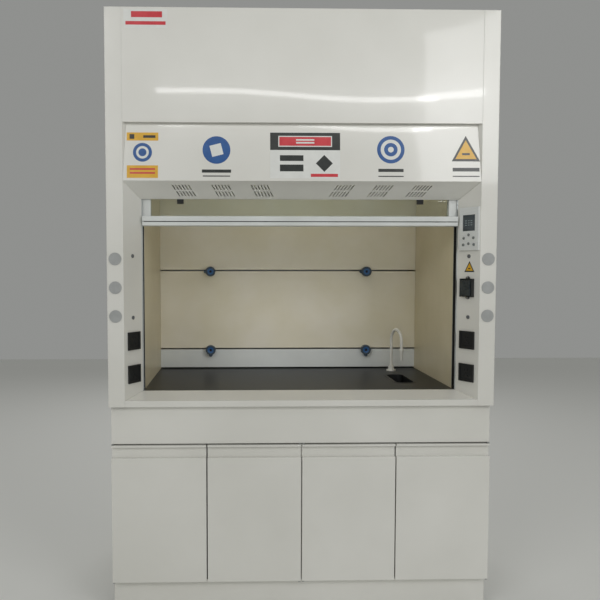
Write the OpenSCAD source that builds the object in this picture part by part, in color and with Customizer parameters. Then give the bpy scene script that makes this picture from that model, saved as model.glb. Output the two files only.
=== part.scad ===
// Bench fume hood on a steel base cabinet, with a counterweighted vertical sash.
// +X is to the right seen from the front, the front faces -Y, +Z is up.
// The origin is on the floor, under the middle of the hood.

/* [Overall] */
// Overall width
hood_w = 1500; // [1400:10:1800]
// Overall depth, over the hole caps
hood_d = 850; // [800:10:1020]
// Height of the cabinet without its exhaust collar
hood_h = 2350; // [2345:5:2820]

/* [Front frame] */
// Width of a post's flat face
post_face_w = 63; // [50:1:80]
// Sideways run of the bevel round the opening
bevel_in = 57; // [45:1:65]
// Depth of the bevel round the opening
bevel_d = 95; // [85:1:110]
// Height of the opening
opening_h = 762; // [640:2:764]
// Height of the sill's flat band
sill_band = 24; // [15:1:40]
// Rise of the sill's sloping face
sill_rise = 23; // [15:1:40]
// Fall of the header's sloping face
header_drop = 60; // [45:1:75]
// Height of the header's front
header_h = 220; // [180:5:260]
// How far the header's top edge sits behind the top panel
header_recess = 19; // [10:1:25]

/* [Base cabinet] */
// Height of the base cabinet
base_h = 836; // [700:2:1000]
// Height of the toe kick
kick_h = 135; // [110:1:160]
// Toe kick's setback behind the hood's front
kick_recess = 48; // [35:1:60]
// Height of a door
door_h = 547; // [456:1:560]
// Thickness of a door
door_t = 20; // [18:1:24]
// Gap between doors
door_gap = 4.6; // [4:0.1:7]
// Door's setback behind the hood's front
door_recess = 13; // [10:1:15]
// Depth of the finger pull in a door
pull_d = 15; // [10:1:16]
// Height of the finger pull
pull_h = 42; // [30:1:60]
// Base cabinet's inset from the hood's side
base_inset = 6; // [3:1:12]

/* [Sheet and board] */
// Thickness of the sheet steel
sheet = 1.5; // [1.2:0.1:2]
// Thickness of the chamber's lining boards
board = 6; // [5:0.5:8]
// Thickness of the worktop
worktop_t = 24; // [20:1:30]
// Height of the worktop's face above the base cabinet
worktop_up = 44; // [40:1:50]

/* [Chamber] */
// Height of the chamber above the worktop
chamber_h = 1270; // [1150:10:1300]
// Depth of the duct space behind the baffles
plenum_d = 142; // [120:1:170]
// Height of a baffle slot
slot_h = 7; // [5:1:10]
// Height of the lower baffle slot above the worktop
slot_low = 98; // [80:1:140]
// Height of the upper baffle slot above the worktop
slot_high = 484; // [403:1:580]
// Knob's distance from the middle
knob_x = 383; // [300:1:420]
// Bore of the exhaust collar
collar_d = 250; // [200:10:300]
// Height of the exhaust collar
collar_h = 100; // [60:5:150]

/* [Sash] */
// Height of the sash
sash_h = 757; // [630:1:757]
// Thickness of the sash frame
sash_t = 26; // [22:1:28]
// Thickness of the glass
glass_t = 6; // [5:1:8]
// Width of a sash stile
stile_w = 51; // [45:1:60]
// Height of the sash bottom above the worktop, as shown
sash_open = 660; // [540:1:660]
// Height of the handle rail
handle_h = 38; // [30:1:45]
// Radius of the pulley at the cable's centre line
pulley_r = 40; // [30:1:42]
// Diameter of the sash cable
cable_d = 3; // [2:0.5:4]
// Length of a counterweight
weight_h = 560; // [460:5:580]
// Side of a counterweight's square section
weight_w = 50; // [40:1:60]

/* [Services] */
// Diameter of a hole cap's flange
cap_d = 48; // [40:1:50]
// Width and height of a socket
socket_w = 70; // [60:1:75]
// Width of the control panel
panel_w = 90; // [80:1:94]
// Height of the control panel
panel_h = 168; // [150:1:190]
// Width of the cup sink
sink_w = 100; // [80:1:140]
// Length of the cup sink
sink_l = 240; // [200:1:300]
// Depth of the cup sink
sink_depth = 140; // [100:1:180]
// Radius of the tap's spout tube
spout_r = 7; // [6:0.5:9]
// Reach of the tap's spout
spout_reach = 108; // [80:1:116]

/* [Hidden] */
$fn = 48;
eps = 1;             // overshoot of a cutting shape
gap = 0.5;           // clearance between neighbouring panels
fit = 0.06;          // radial running clearance of a pin in its bore

cap_rise = 2.5;      // a hole cap's flange stands proud of the post
yf = -hood_d/2 + cap_rise;   // front plane of the hood
yb = hood_d/2;               // back plane
xo = hood_w/2;               // outer side
xi = xo - sheet;             // inside of the side panel
xf = xo - post_face_w;       // edge of the post's flat face
xa = xf - bevel_in;          // half width of the opening
yi = yf + bevel_d;           // back of the front frame

z_sill = base_h + sill_band + sill_rise;  // bottom of the opening
z_head = z_sill + opening_h;              // top of the opening
z_lip = z_head + header_drop;             // lower edge of the header's front
z_top = z_lip + header_h;                 // lower edge of the top panel
z_work = base_h + worktop_up;             // worktop's face
z_roof = hood_h - sheet;                  // underside of the roof
z_ceil = z_work + chamber_h;              // underside of the chamber's ceiling
y_baf = yb - sheet - plenum_d;            // back face of the baffles
y_duct = y_baf - 238;                     // front of the duct space over the ceiling
worktop_back = 4;                         // worktop's front edge behind the front frame

bevel_len = norm([bevel_in, bevel_d]);
bevel_a = -atan2(bevel_d, bevel_in);      // turn of the right post's bevel about Z
bevel_slope = bevel_in/bevel_d;
fold_r = 18;                              // depth of a panel's folded edge

// Sash guide, from the front frame backwards
track_t = 2;
seal_t = 3;
seal_gap = 0.5;
seal_in = 3;                              // seal's reach into the opening
y_seal = yi + track_t;
y_sash = y_seal + seal_t + seal_gap;      // sash's front face
y_mid = y_sash + sash_t/2;
y_rear = y_sash + sash_t + seal_gap + seal_t; // rear leg's inner face
y_track = y_rear + track_t;
x_track = xa + 26;                        // outer face of a sash track
z_track = z_roof - 8;
sash_w2 = xa + 16;                        // half width of the sash
x_stile = sash_w2 - stile_w;
z_sash = z_work + sash_open;              // bottom of the sash
glass_in = 12;                            // depth of the glass in its groove
rail_h = 25;                              // height of the sash's top rail
foot_h = 10;                              // height of a track's rubber foot

// Cable drive
x_cable = x_track + 12;
y_shaft = y_mid + pulley_r;
z_shaft = z_roof - pulley_r - 18.5;
y_drop = y_shaft + pulley_r;
shaft_r = 8;
rim = 4;                                  // pulley rim outside the cable's centre line
pulley_w = 14;
groove_w = 5;
groove_gap = 0.3;
bracket_t = 8;
x_bracket = x_cable + 22;
lug_h = 20;
lug_drop = 197;                           // cable lug below the sash's top
weight_room = 148;                        // counterweight's top below the shaft, sash shut
z_lug = z_sash + sash_h - lug_drop;
z_weight = z_shaft - weight_room - (z_sash - z_sill - foot_h) - weight_h;

// Doors
yd = yf + door_recess;                    // door's front face
y_base = yd + door_t + 1.5;               // front of the base carcass
xb = xo - base_inset;                     // side of the base cabinet
door_pitch = xb/2;
door_skin = 1.2;
pull_lip = 8;
pin_r = 3;
pin_in = 5.2;                             // pin's distance from the door's edge
pin_back = 6;                             // pin's distance behind the door's face
leaf_t = 3;
leaf_gap = 0.7;
base_wall = 1.5;
apron_gap = 4.5;
z_apron = kick_h + door_h + apron_gap;
apron_recess = 22;
base_foot = 12;                           // carcass's lower edge above the floor
kick_foot = 14;                           // toe kick's lower edge above the floor
rail_w = 20;
leaf_w = 9;                               // width of a hinge leaf
pin_low = 16;                             // lower pin's reach above its leaf
leaf_tail = 30;                           // upper leaf's reach behind the carcass front

// Services on the bevels: distance from the flat face's edge, and height
service_s = bevel_len/2;
socket_z = [z_work + 209, z_work + 79];
panel_z = z_work + 647;
breaker_z = z_work + 416;
cap_z = [z_work + 528, z_work + 418, z_work + 308];
cap_hole_r = cap_d/2 - 3;
plug_gap = 0.1;
panel_t = 9;
panel_s = 5 + panel_w/2;
key_d = 11;
key_up = 1.6;
key_gap = 0.3;
key_travel_room = 1.2;
key_seat = 5;                             // depth of a key's hole in the fascia
breaker_w = 58;
breaker_h = 72;
breaker_t = 16;

// Worktop fittings
sink_x = 475;
sink_y = yf + 375;
tap_x = sink_x + 17;
tap_y = sink_y + sink_l/2 + 112;
spout_a = 12;                             // turn of the spout from straight ahead
drain_r = 20;
collar_y = yb - 90 - collar_d/2;
gland_r = 12.5;

enamel = "#dcdbd5";
lining = "#c2bba6";
dark = "#26282a";

// ---- Shared shapes ----

// Cuboid between two opposite corners
module box(a, b) { translate(a) cube(b - a); }

// Both sides: the right one and its mirror image
module both() { children(); mirror([1, 0, 0]) children(); }

// Outline of sheet folded along a line of points, with mitred corners
function unit(v) = v/norm(v);
function side_of(v) = [-v[1], v[0]];
function mitre(p, i, t) = let(
    a = side_of(unit(i == 0 ? p[1] - p[0] : p[i] - p[i - 1])),
    b = side_of(unit(i == len(p) - 1 ? p[i] - p[i - 1] : p[i + 1] - p[i])))
    p[i] + (a + b)*t/(1 + a*b);
function folded(p, t) = concat(p, [for (i = [len(p) - 1:-1:0]) mitre(p, i, t)]);

// Profile in Y and Z, run along X between two places
module run_x(x0, x1) {
    translate([x0, 0, 0]) rotate([90, 0, 90]) linear_extrude(x1 - x0) children();
}

// Place on the right post's bevel: X towards the outer edge, Y up, Z out of the face
module on_bevel(s, z) {
    translate([xf - s*bevel_in/bevel_len, yf + s*bevel_d/bevel_len, z])
        rotate([90, 0, bevel_a]) children();
}

// Everything behind a post's face, grown by a clearance, that a neighbour is cut back from
module post_space() {
    both() translate([0, 0, base_h - eps]) linear_extrude(hood_h) polygon([
        [xf - gap + bevel_slope*eps, yf - eps], [xo + eps, yf - eps],
        [xo + eps, yi + eps], [xa - gap - bevel_slope*eps, yi + eps]]);
}

// Rounded rectangle made of true arcs, centred
module round_rect(w, l, r) {
    square([w - 2*r, l], center = true);
    square([w, l - 2*r], center = true);
    for (x = [-1, 1], y = [-1, 1]) translate([x*(w/2 - r), y*(l/2 - r)]) circle(r);
}

// ---- Base cabinet ----

// Welded shell: two sides with a toe notch, back, floor and top rails
module base_carcass() {
    yk = yf + kick_recess;
    y1 = yb - sheet;
    y2 = yi + worktop_back;
    rail_x = xb - 60;
    color(enamel) {
        both() difference() {
            box([xb - base_wall, y_base, base_foot], [xb, y1, base_h]);
            box([xb - base_wall - eps, y_base - eps, 0], [xb + eps, yk - gap, kick_h]);
        }
        box([-xb, y1 - base_wall, base_foot], [xb, y1, base_h]);
        box([-xb, y_base, kick_h], [xb, y1, kick_h + base_wall]);
        both() box([rail_x, y2, base_h - rail_w], [rail_x + rail_w, y1, z_work - worktop_t]);
        box([-xb, y_base, base_h - base_wall], [xb, y_base + rail_w, base_h]);
        box([-xb, y2, base_h - rail_w], [xb, y2 + rail_w, base_h]);
    }
}

// Hollow upright between the two pairs of doors
module base_divider() {
    t = 18;
    z0 = kick_h + base_wall;
    z1 = base_h - rail_w;
    color(enamel) difference() {
        box([-t/2, y_base, z0], [t/2, yb - sheet - base_wall, z1]);
        box([-t/2 + base_wall, y_base + base_wall, z0 - eps],
            [t/2 - base_wall, yb - sheet - 2*base_wall, z1 + eps]);
    }
}

// Folded panel over the doors
module apron() {
    y0 = yf + apron_recess;
    color(enamel) run_x(-xb, xb) polygon(folded([[y_base, z_apron], [y0, z_apron],
        [y0, base_h - gap], [y_base, base_h - gap]], -base_wall));
}

// Folded kick plate, set back under the doors
module toe_kick() {
    y0 = yf + kick_recess;
    x1 = xb - base_wall;
    color(enamel) run_x(-x1, x1) polygon(folded([[y0 + fold_r, kick_foot], [y0, kick_foot],
        [y0, kick_h - gap], [y0 + fold_r, kick_h - gap]], -base_wall));
}

// Six screw feet under the carcass floor
module levelling_feet() {
    color("#55585a") for (x = [-xb + 80, 0, xb - 80], y = [yf + 120, yb - 90]) {
        translate([x, y, 0]) cylinder(h = 10, r = 24);
        translate([x, y, 0]) cylinder(h = kick_h, r = 6);
        translate([x, y, 22]) cylinder(h = 9, r = 11, $fn = 6);
        translate([x, y, kick_h - 26]) cylinder(h = 26, r = 16);
    }
}

function pin_x(n) = let(a = (n - 2)*door_pitch, s = door_gap/2)
    n % 2 == 0 ? a + (n == 0 ? 0 : s) + pin_in : a + door_pitch - (n == 3 ? 0 : s) - pin_in;
function door_x0(n) = (n - 2)*door_pitch + (n == 0 ? 0 : door_gap/2);
function door_x1(n) = (n - 1)*door_pitch - (n == 3 ? 0 : door_gap/2);

// Knife hinge leaves with their pins, under and over each door's hinged edge
module hinge_plates() {
    z_low = kick_h - leaf_gap;
    z_high = kick_h + door_h + leaf_gap;
    py = yd + pin_back;
    w = leaf_w/2;
    front = y_base - py;
    back = yf + kick_recess - gap - py;
    color("#8d9092") {
        for (n = [0:3]) translate([pin_x(n), py, 0]) {
            box([-w, -w, z_low - leaf_t], [w, back, z_low]);
            box([-w, front, z_low - eps], [w, back, kick_h]);
            translate([0, 0, z_low - leaf_t]) cylinder(h = leaf_t + pin_low, r = pin_r);
            box([-w, -w, z_high], [w, front, z_high + leaf_t]);
            translate([0, 0, z_high - pull_lip]) cylinder(h = pull_lip + leaf_t, r = pin_r);
        }
        both() box([pin_x(3) - w, y_base - eps, z_high],
            [xb - base_wall, y_base + leaf_tail, z_high + leaf_t]);
    }
}

// Hollow door with a finger pull folded into its top; n counts from the left
module door(n) {
    x0 = door_x0(n);
    x1 = door_x1(n);
    z0 = kick_h;
    z1 = kick_h + door_h;
    zg = z1 - pull_lip;
    px = pin_x(n);
    py = yd + pin_back;
    s = door_skin;
    block = 12;
    color(enamel) difference() {
        union() {
            difference() {
                box([x0, yd, z0], [x1, yd + door_t, z1]);
                box([x0 + s, yd + s, z0 + s], [x1 - s, yd + door_t - s, z1 - s]);
            }
            difference() {
                box([x0, yd, zg - pull_h - s], [x1, yd + pull_d + s, z1]);
                box([x0 + s, yd + s, zg + s], [x1 - s, yd + pull_d + s + eps, z1 - s]);
            }
            box([max(x0, px - block), yd, z0], [min(x1, px + block), yd + door_t, z0 + pin_low + 2]);
            box([max(x0, px - block), yd, zg], [min(x1, px + block), yd + door_t, z1]);
        }
        box([x0 - eps, yd - eps, zg - pull_h], [x1 + eps, yd + pull_d, zg]);
        translate([px, py, z0 - eps]) cylinder(h = pin_low + eps, r = pin_r + fit);
        translate([px, py, zg - eps]) cylinder(h = pull_lip + 2*eps, r = pin_r + fit);
    }
}
module door_1() { door(0); }
module door_2() { door(1); }
module door_3() { door(2); }
module door_4() { door(3); }

// ---- Outer shell ----

module side_panel() { box([xi, yf, base_h], [xo, yb, z_roof]); }
module side_panel_right() { color(enamel) side_panel(); }
module side_panel_left() { color(enamel) mirror([1, 0, 0]) side_panel(); }

// Hollow front post, with the holes that both posts have
module post() {
    near = (bevel_len - bevel_in)/bevel_d;
    far = (bevel_len + bevel_in)/bevel_d;
    difference() {
        translate([0, 0, base_h]) linear_extrude(z_roof - base_h) difference() {
            polygon([[xi, yf], [xf, yf], [xa, yi], [xi, yi]]);
            polygon([[xi - sheet, yf + sheet], [xf + near*sheet, yf + sheet],
                [xa + far*sheet, yi - sheet], [xi - sheet, yi - sheet]]);
        }
        for (z = cap_z) translate([xo - post_face_w/2, yf - eps, z])
            rotate([-90, 0, 0]) cylinder(h = sheet + 2*eps, r = cap_hole_r);
        for (z = socket_z) on_bevel(service_s, z)
            cube([socket_w - 10, socket_w - 10, 8], center = true);
    }
}
module post_left() { color(enamel) mirror([1, 0, 0]) post(); }
module post_right() {
    color(enamel) difference() {
        post();
        on_bevel(panel_s, panel_z) cube([panel_w - 12, panel_h - 14, 8], center = true);
        on_bevel(service_s, breaker_z) cube([breaker_w - 10, breaker_h - 12, 8], center = true);
    }
}

// Flush panel between the posts, above the header
module top_panel() {
    x1 = xf - gap;
    x2 = x1 - bevel_slope*fold_r;
    color(enamel) difference() {
        union() {
            run_x(-xf, xf) polygon(folded([[yf + header_recess + 8, z_top], [yf, z_top],
                [yf, z_roof], [yf + fold_r, z_roof]], -sheet));
            both() translate([0, 0, z_top]) linear_extrude(z_roof - z_top) polygon([
                [x1 - 2*sheet, yf], [x1, yf], [x2, yf + fold_r], [x2 - 2*sheet, yf + fold_r]]);
        }
        post_space();
    }
}

// Leaning header with a sloping lower face, pierced by slanting air slots
module header_panel() {
    tilt = -atan2(header_drop, bevel_d);
    rows = [24, 63];
    groups = [210, 361, 513];
    slot_l = 30;
    slot_w = 5.5;
    pitch = 12.4;
    lean = 0.36;
    color(enamel) difference() {
        run_x(-xf, xf) polygon(folded([[yi - sheet, z_lip - 4], [yi - sheet, z_head],
            [yf, z_lip], [yf + header_recess, z_top - gap],
            [yf + header_recess + 40, z_top - gap]], -sheet));
        post_space();
        for (side = [-1, 1], x = groups, row = rows, k = [0:5])
            translate([side*(x - k*pitch), yf, z_lip]) rotate([tilt, 0, 0])
                linear_extrude(30, center = true)
                    polygon([for (p = [[0, row], [slot_w, row], [slot_w, row + slot_l], [0, row + slot_l]])
                        [-side*(p[0] + lean*p[1]), p[1]]]);
    }
}

// Sill: flat band, sloping face and folded edges
module sill() {
    color(enamel) difference() {
        run_x(-xf, xf) polygon(folded([[yf + apron_recess - 2, base_h], [yf, base_h],
            [yf, base_h + sill_band], [yi, z_sill], [yi, z_sill - fold_r]], -sheet));
        post_space();
    }
}

// Roof plate with its duct hole and cable entry
module roof_panel() {
    color(enamel) difference() {
        box([-xo, yf, z_roof], [xo, yb, hood_h]);
        translate([0, collar_y, z_roof - eps]) cylinder(h = sheet + 2*eps, r = collar_d/2 - 2, $fn = 96);
        translate([xo - 150, collar_y, z_roof - eps]) cylinder(h = sheet + 2*eps, r = gland_r);
    }
}

// Spigot that the duct slides over
module exhaust_collar() {
    r = collar_d/2;
    color("#b9bcbd") translate([0, collar_y, hood_h]) rotate_extrude($fn = 96) polygon([
        [r - 2, 0], [r + 28, 0], [r + 28, 2], [r, 2], [r, collar_h], [r - 2, collar_h]]);
}

module rear_panel() { color(enamel) box([-xi, yb - sheet, base_h], [xi, yb, z_roof]); }

// ---- Chamber ----

// Side lining board, notched at the front over the ceiling for the pulley shaft
module liner_side() {
    translate([xa, 0, 0]) rotate([90, 0, 90]) linear_extrude(board) polygon([
        [y_track + gap, z_work], [yb - sheet, z_work], [yb - sheet, z_roof],
        [y_duct, z_roof], [y_duct, z_ceil + board], [y_track + gap, z_ceil + board]]);
}
module liner_right() { color(lining) liner_side(); }
module liner_left() { color(lining) mirror([1, 0, 0]) liner_side(); }

lamp_w = 640;
lamp_d = 90;
lamp_y = -110;

// Ceiling board with the duct space's front wall standing on its back edge
module liner_ceiling() {
    color(lining) difference() {
        union() {
            box([-xa, y_track + gap, z_ceil], [xa, y_duct + board, z_ceil + board]);
            box([-xa, y_duct, z_ceil], [xa, y_duct + board, z_roof]);
        }
        box([-lamp_w/2, lamp_y - lamp_d/2, z_ceil - eps],
            [lamp_w/2, lamp_y + lamp_d/2, z_ceil + board + eps]);
    }
}

z_slot_low = z_work + slot_low;
z_slot_high = z_work + slot_high;
knob_drop = 5;
knob_hole = 4.5;

// Clearance holes round the knobs' shanks
module knob_holes() {
    for (x = [-knob_x, knob_x], z = [z_slot_low, z_slot_high])
        translate([x, y_baf + eps, z - knob_drop]) rotate([90, 0, 0])
            cylinder(h = board + 2*eps, r = knob_hole);
}

// Upper baffle: upright below, leaning forward above
module baffle_upper() {
    x1 = xa - gap;
    y0 = y_baf - board;
    lean_h = 150;
    lean_d = 205;
    color(lining) difference() {
        run_x(-x1, x1) polygon(folded([[y0, z_slot_high + slot_h/2], [y0, z_ceil - lean_h],
            [y0 - lean_d, z_ceil - 12]], -board));
        knob_holes();
    }
}

module baffle_middle() {
    color(lining) difference() {
        box([-xa + gap, y_baf - board, z_slot_low + slot_h/2],
            [xa - gap, y_baf, z_slot_high - slot_h/2]);
        knob_holes();
    }
}

module baffle_lower() {
    color("#aeb3b0") difference() {
        box([-xa + gap, y_baf - board, z_work + 6], [xa - gap, y_baf, z_slot_low - slot_h/2]);
        knob_holes();
    }
}

// Round knob with one lobe, and a shank that clamps the baffles from behind
module knob(side, level, lobe_a) {
    z = (level == 1 ? z_slot_high : z_slot_low) - knob_drop;
    y0 = y_baf - board - gap;
    color("#2b5f8f") translate([side*knob_x, y0, z]) rotate([90, 0, 0]) {
        cylinder(h = 8, r = 15);
        difference() {
            union() {
                translate([0, 0, 8]) cylinder(h = 18, r = 24);
                rotate([0, 0, lobe_a]) translate([26, 0, 8]) cylinder(h = 16, r = 9);
            }
            translate([0, 0, 16]) cylinder(h = 11, r = 7);
        }
        translate([0, 0, -board - 14]) cylinder(h = board + 14, r = 3.5);
        translate([0, 0, -board - 14]) cylinder(h = 10, r = 12, $fn = 6);
    }
}
module knob_upper_left() { knob(-1, 1, 180); }
module knob_upper_right() { knob(1, 1, 180); }
module knob_lower_left() { knob(-1, 0, 270); }
module knob_lower_right() { knob(1, 0, 270); }

// Lamp box on top of the ceiling, and its lens in the ceiling's cut-out
module lamp_housing() {
    z0 = z_ceil + board;
    color(enamel) difference() {
        box([-lamp_w/2 - 15, lamp_y - lamp_d/2 - 15, z0],
            [lamp_w/2 + 15, lamp_y + lamp_d/2 + 15, z0 + 60]);
        box([-lamp_w/2, lamp_y - lamp_d/2, z0 - eps], [lamp_w/2, lamp_y + lamp_d/2, z0 + 58]);
    }
}
module lamp_lens() {
    color("#f2f2ea") box([-lamp_w/2 + gap, lamp_y - lamp_d/2 + gap, z_ceil - 4],
        [lamp_w/2 - gap, lamp_y + lamp_d/2 - gap, z_ceil + board - gap]);
}

// ---- Sash and its drive ----

// Two angles a side; the slot between them lets the cable lug pass
module sash_tracks() {
    slot = 17;
    x0 = xa - 4;
    color("#a9adab") both() {
        box([x0, yi, z_sill + 1], [x_track, y_seal, z_track]);
        box([x_track - track_t, yi, z_sill + 1], [x_track, y_mid - slot/2, z_track]);
        box([x0, y_rear, z_sill + 1], [x_track, y_track, z_track]);
        box([x_track - track_t, y_mid + slot/2, z_sill + 1], [x_track, y_track, z_track]);
    }
}

// Rubber strips on the tracks, and the feet that the sash lands on
module sash_gaskets() {
    color(dark) both() {
        box([xa - seal_in, y_seal, z_sill + 1], [xa + 4, y_seal + seal_t, z_track]);
        box([xa - seal_in, y_rear - seal_t, z_sill + 1], [xa + 4, y_rear, z_track]);
        box([xa - 5, y_sash, z_sill], [xa + 12, y_sash + sash_t, z_sill + foot_h]);
    }
}

// Two rubber blocks behind the header's lower edge, which stop the handle rail
module sash_stops() {
    x0 = 464;
    w = 26;
    lift = 49;
    color(dark) both() box([x0, yi, z_sash + handle_h + lift], [x0 + w, yi + 4, z_head + 28]);
}

module sash_glass() {
    x1 = x_stile + glass_in - gap;
    color("#b9d4cf", 0.35) box([-x1, y_mid - glass_t/2, z_sash + handle_h - glass_in + gap],
        [x1, y_mid + glass_t/2, z_sash + sash_h - rail_h + glass_in - gap]);
}

// Two stiles and a top rail, grooved for the glass, with a cable lug a side
module sash_frame() {
    z1 = z_sash + sash_h;
    g = glass_t/2 + 0.4;
    color("#d5d8d6") difference() {
        union() {
            both() {
                box([x_stile, y_sash, z_sash], [sash_w2, y_sash + sash_t, z1]);
                box([sash_w2 - eps, y_mid - 5, z_lug - lug_h], [x_cable + 6, y_mid + 5, z_lug]);
            }
            box([-x_stile, y_sash, z1 - rail_h], [x_stile, y_sash + sash_t, z1]);
        }
        box([-x_stile - glass_in, y_mid - g, z_sash + handle_h - glass_in],
            [x_stile + glass_in, y_mid + g, z1 - rail_h + glass_in]);
        both() box([x_stile + 4, y_sash + 4, z_sash - eps],
            [sash_w2 - 20, y_mid - g - 3, z1 - rail_h - 5]);
    }
}

// Handle rail: an upper and a lower band with a dark groove between them
module sash_handle() {
    x1 = x_stile - gap;
    reach = 26;
    g = glass_t/2 + 0.4;
    z0 = z_sash;
    z1 = z_sash + handle_h;
    ye = y_sash - gap;
    color("#dfe1de") difference() {
        union() {
            box([-x1, y_sash, z0], [x1, y_sash + sash_t, z1]);
            run_x(seal_in + 2 - xa, xa - seal_in - 2)
                polygon([[ye, z0], [y_sash - 20, z0], [y_sash - 22, z0 + 2],
                [y_sash - 22, z0 + 15], [y_sash - 17, z0 + 15], [y_sash - 17, z0 + 18],
                [y_sash - reach, z0 + 18], [y_sash - reach, z1 - 2],
                [y_sash - reach + 2, z1], [ye, z1]]);
            box([-x1, ye - eps, z0], [x1, y_sash + eps, z1]);
        }
        box([-x1 - eps, y_mid - g, z1 - glass_in], [x1 + eps, y_mid + g, z1 + eps]);
    }
}

// Cross shaft with a grooved pulley at each end, which keeps the sash level
module pulley_shaft() {
    r = pulley_r;
    root = r - cable_d/2 - groove_gap;
    color("#9a9d9f") translate([0, y_shaft, z_shaft]) rotate([0, 90, 0]) {
        cylinder(h = 2*(x_bracket + bracket_t + 6), r = shaft_r, center = true);
        for (s = [-1, 1]) translate([0, 0, s*x_cable]) difference() {
            cylinder(h = pulley_w, r = r + rim, center = true, $fn = 96);
            difference() {
                cylinder(h = groove_w, r = r + rim + eps, center = true, $fn = 96);
                cylinder(h = groove_w + eps, r = root, center = true, $fn = 96);
            }
            for (a = [0:60:300]) rotate([0, 0, a]) translate([22, 0, 0])
                cylinder(h = pulley_w + eps, r = 7, center = true);
        }
    }
}

// Bearing plates that hang from the roof
module shaft_brackets() {
    color("#8d9092") both() difference() {
        union() {
            box([x_bracket, y_shaft - 40, z_shaft - 28],
                [x_bracket + bracket_t, y_shaft + 40, z_roof]);
            box([x_bracket - 16, y_shaft - 40, z_roof - 5],
                [x_bracket + bracket_t + 16, y_shaft + 40, z_roof]);
        }
        translate([x_bracket - eps, y_shaft, z_shaft]) rotate([0, 90, 0])
            cylinder(h = bracket_t + 2*eps, r = shaft_r + fit);
    }
}

// Steel bars that hang on the cables in the side spaces
module counterweights() {
    w = weight_w/2;
    color("#6e7173") both() {
        translate([x_cable, y_drop, z_weight]) difference() {
            box([-w, -w, 0], [w, w, weight_h]);
            translate([0, 0, weight_h - 30]) cylinder(h = 30 + eps, r = 6);
        }
        translate([x_cable, y_drop, z_weight + weight_h - 30]) cylinder(h = 30, r = 5.7);
    }
}

// One wire rope a side: up from the sash, over the pulley, down to the weight
module sash_cables() {
    color("#8b8e90") both() translate([x_cable, 0, 0]) {
        translate([0, y_mid, z_lug]) cylinder(h = z_shaft - z_lug, r = cable_d/2, $fn = 16);
        translate([0, y_drop, z_weight + weight_h])
            cylinder(h = z_shaft - z_weight - weight_h, r = cable_d/2, $fn = 16);
        translate([0, y_shaft, z_shaft]) rotate([90, 0, 90]) rotate_extrude(angle = 180, $fn = 96)
            translate([pulley_r, 0]) circle(cable_d/2, $fn = 16);
    }
}

// ---- Services on the front ----

key_pos = [[0, -24], [0, -58], [23, -36], [-23, -36], [25, -62], [-25, -62]];
window_w = 58;
window_h = 63;
window_y = 23;

// Raised fascia with a shallow box behind it
module control_panel() {
    color("#b4b7b5") on_bevel(panel_s, panel_z) difference() {
        union() {
            translate([0, 0, panel_t/2]) cube([panel_w, panel_h, panel_t], center = true);
            translate([0, 0, -8]) cube([panel_w - 14, panel_h - 16, 16 + eps], center = true);
        }
        translate([0, window_y, panel_t]) cube([window_w, window_h, 6], center = true);
        for (p = key_pos) translate([p[0], p[1], panel_t - key_seat])
            cylinder(h = key_seat + eps, r = key_d/2 + key_gap);
    }
}
module display_window() {
    color("#3c4144") on_bevel(panel_s, panel_z) translate([0, window_y, panel_t - 1.9])
        cube([window_w - 2*key_gap, window_h - 2*key_gap, 2.2], center = true);
}
module key(i) {
    z0 = panel_t - key_seat + key_travel_room;
    color("#8f9391") on_bevel(panel_s, panel_z) translate([key_pos[i][0], key_pos[i][1], z0])
        cylinder(h = panel_t + key_up - z0, r = key_d/2);
}
module key_up() { key(0); }
module key_down() { key(1); }
module key_left() { key(2); }
module key_right() { key(3); }
module key_fan() { key(4); }
module key_lamp() { key(5); }

lever_r = 9;
lever_w = 26;
cheek = 5;
lever_pin = 2;
cover_pin = 1.8;
cover_top = breaker_h/2 - 10;

// Breaker's body: a tray with cheeks that carry the lever and the cover
module breaker_housing() {
    w = breaker_w/2;
    h = breaker_h/2;
    color(dark) on_bevel(service_s, breaker_z) difference() {
        union() {
            box([-w, -h, 0], [w, h, 5]);
            box([-w + 6, -h + 7, -18], [w - 6, h - 7, eps]);
            for (s = [-1, 1]) {
                translate([0, s*h, 0]) cylinder(h = 4, r = 9);
                translate([s*(w - cheek/2), 0, breaker_t/2]) cube([cheek, 2*h, breaker_t], center = true);
            }
        }
        for (s = [-1, 1]) translate([0, s*(h + 4), -eps]) cylinder(h = 8, r = 2);
        box([-lever_w/2 - 1, -lever_r - 2, -8], [lever_w/2 + 1, lever_r + 2, 6]);
        translate([-w - eps, cover_top, breaker_t - 5]) rotate([0, 90, 0])
            cylinder(h = 2*w + 2*eps, r = cover_pin + fit);
        translate([-lever_w/2 - 6, 0, 0]) rotate([0, 90, 0])
            cylinder(h = lever_w + 12, r = lever_pin + fit);
    }
}

// Toggle on its own cross pin
module breaker_lever() {
    color("#3a3d40") on_bevel(service_s, breaker_z) {
        run_x(-lever_w/2, lever_w/2) polygon([[-5, -4], [5, -4], [6, 2], [10, 13], [5.5, 15], [-5, 3]]);
        for (s = [-1, 1]) translate([s*(lever_w/2 + 2.5), 0, 0]) rotate([0, 90, 0])
            cylinder(h = 5, r = lever_pin, center = true);
    }
}

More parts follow.
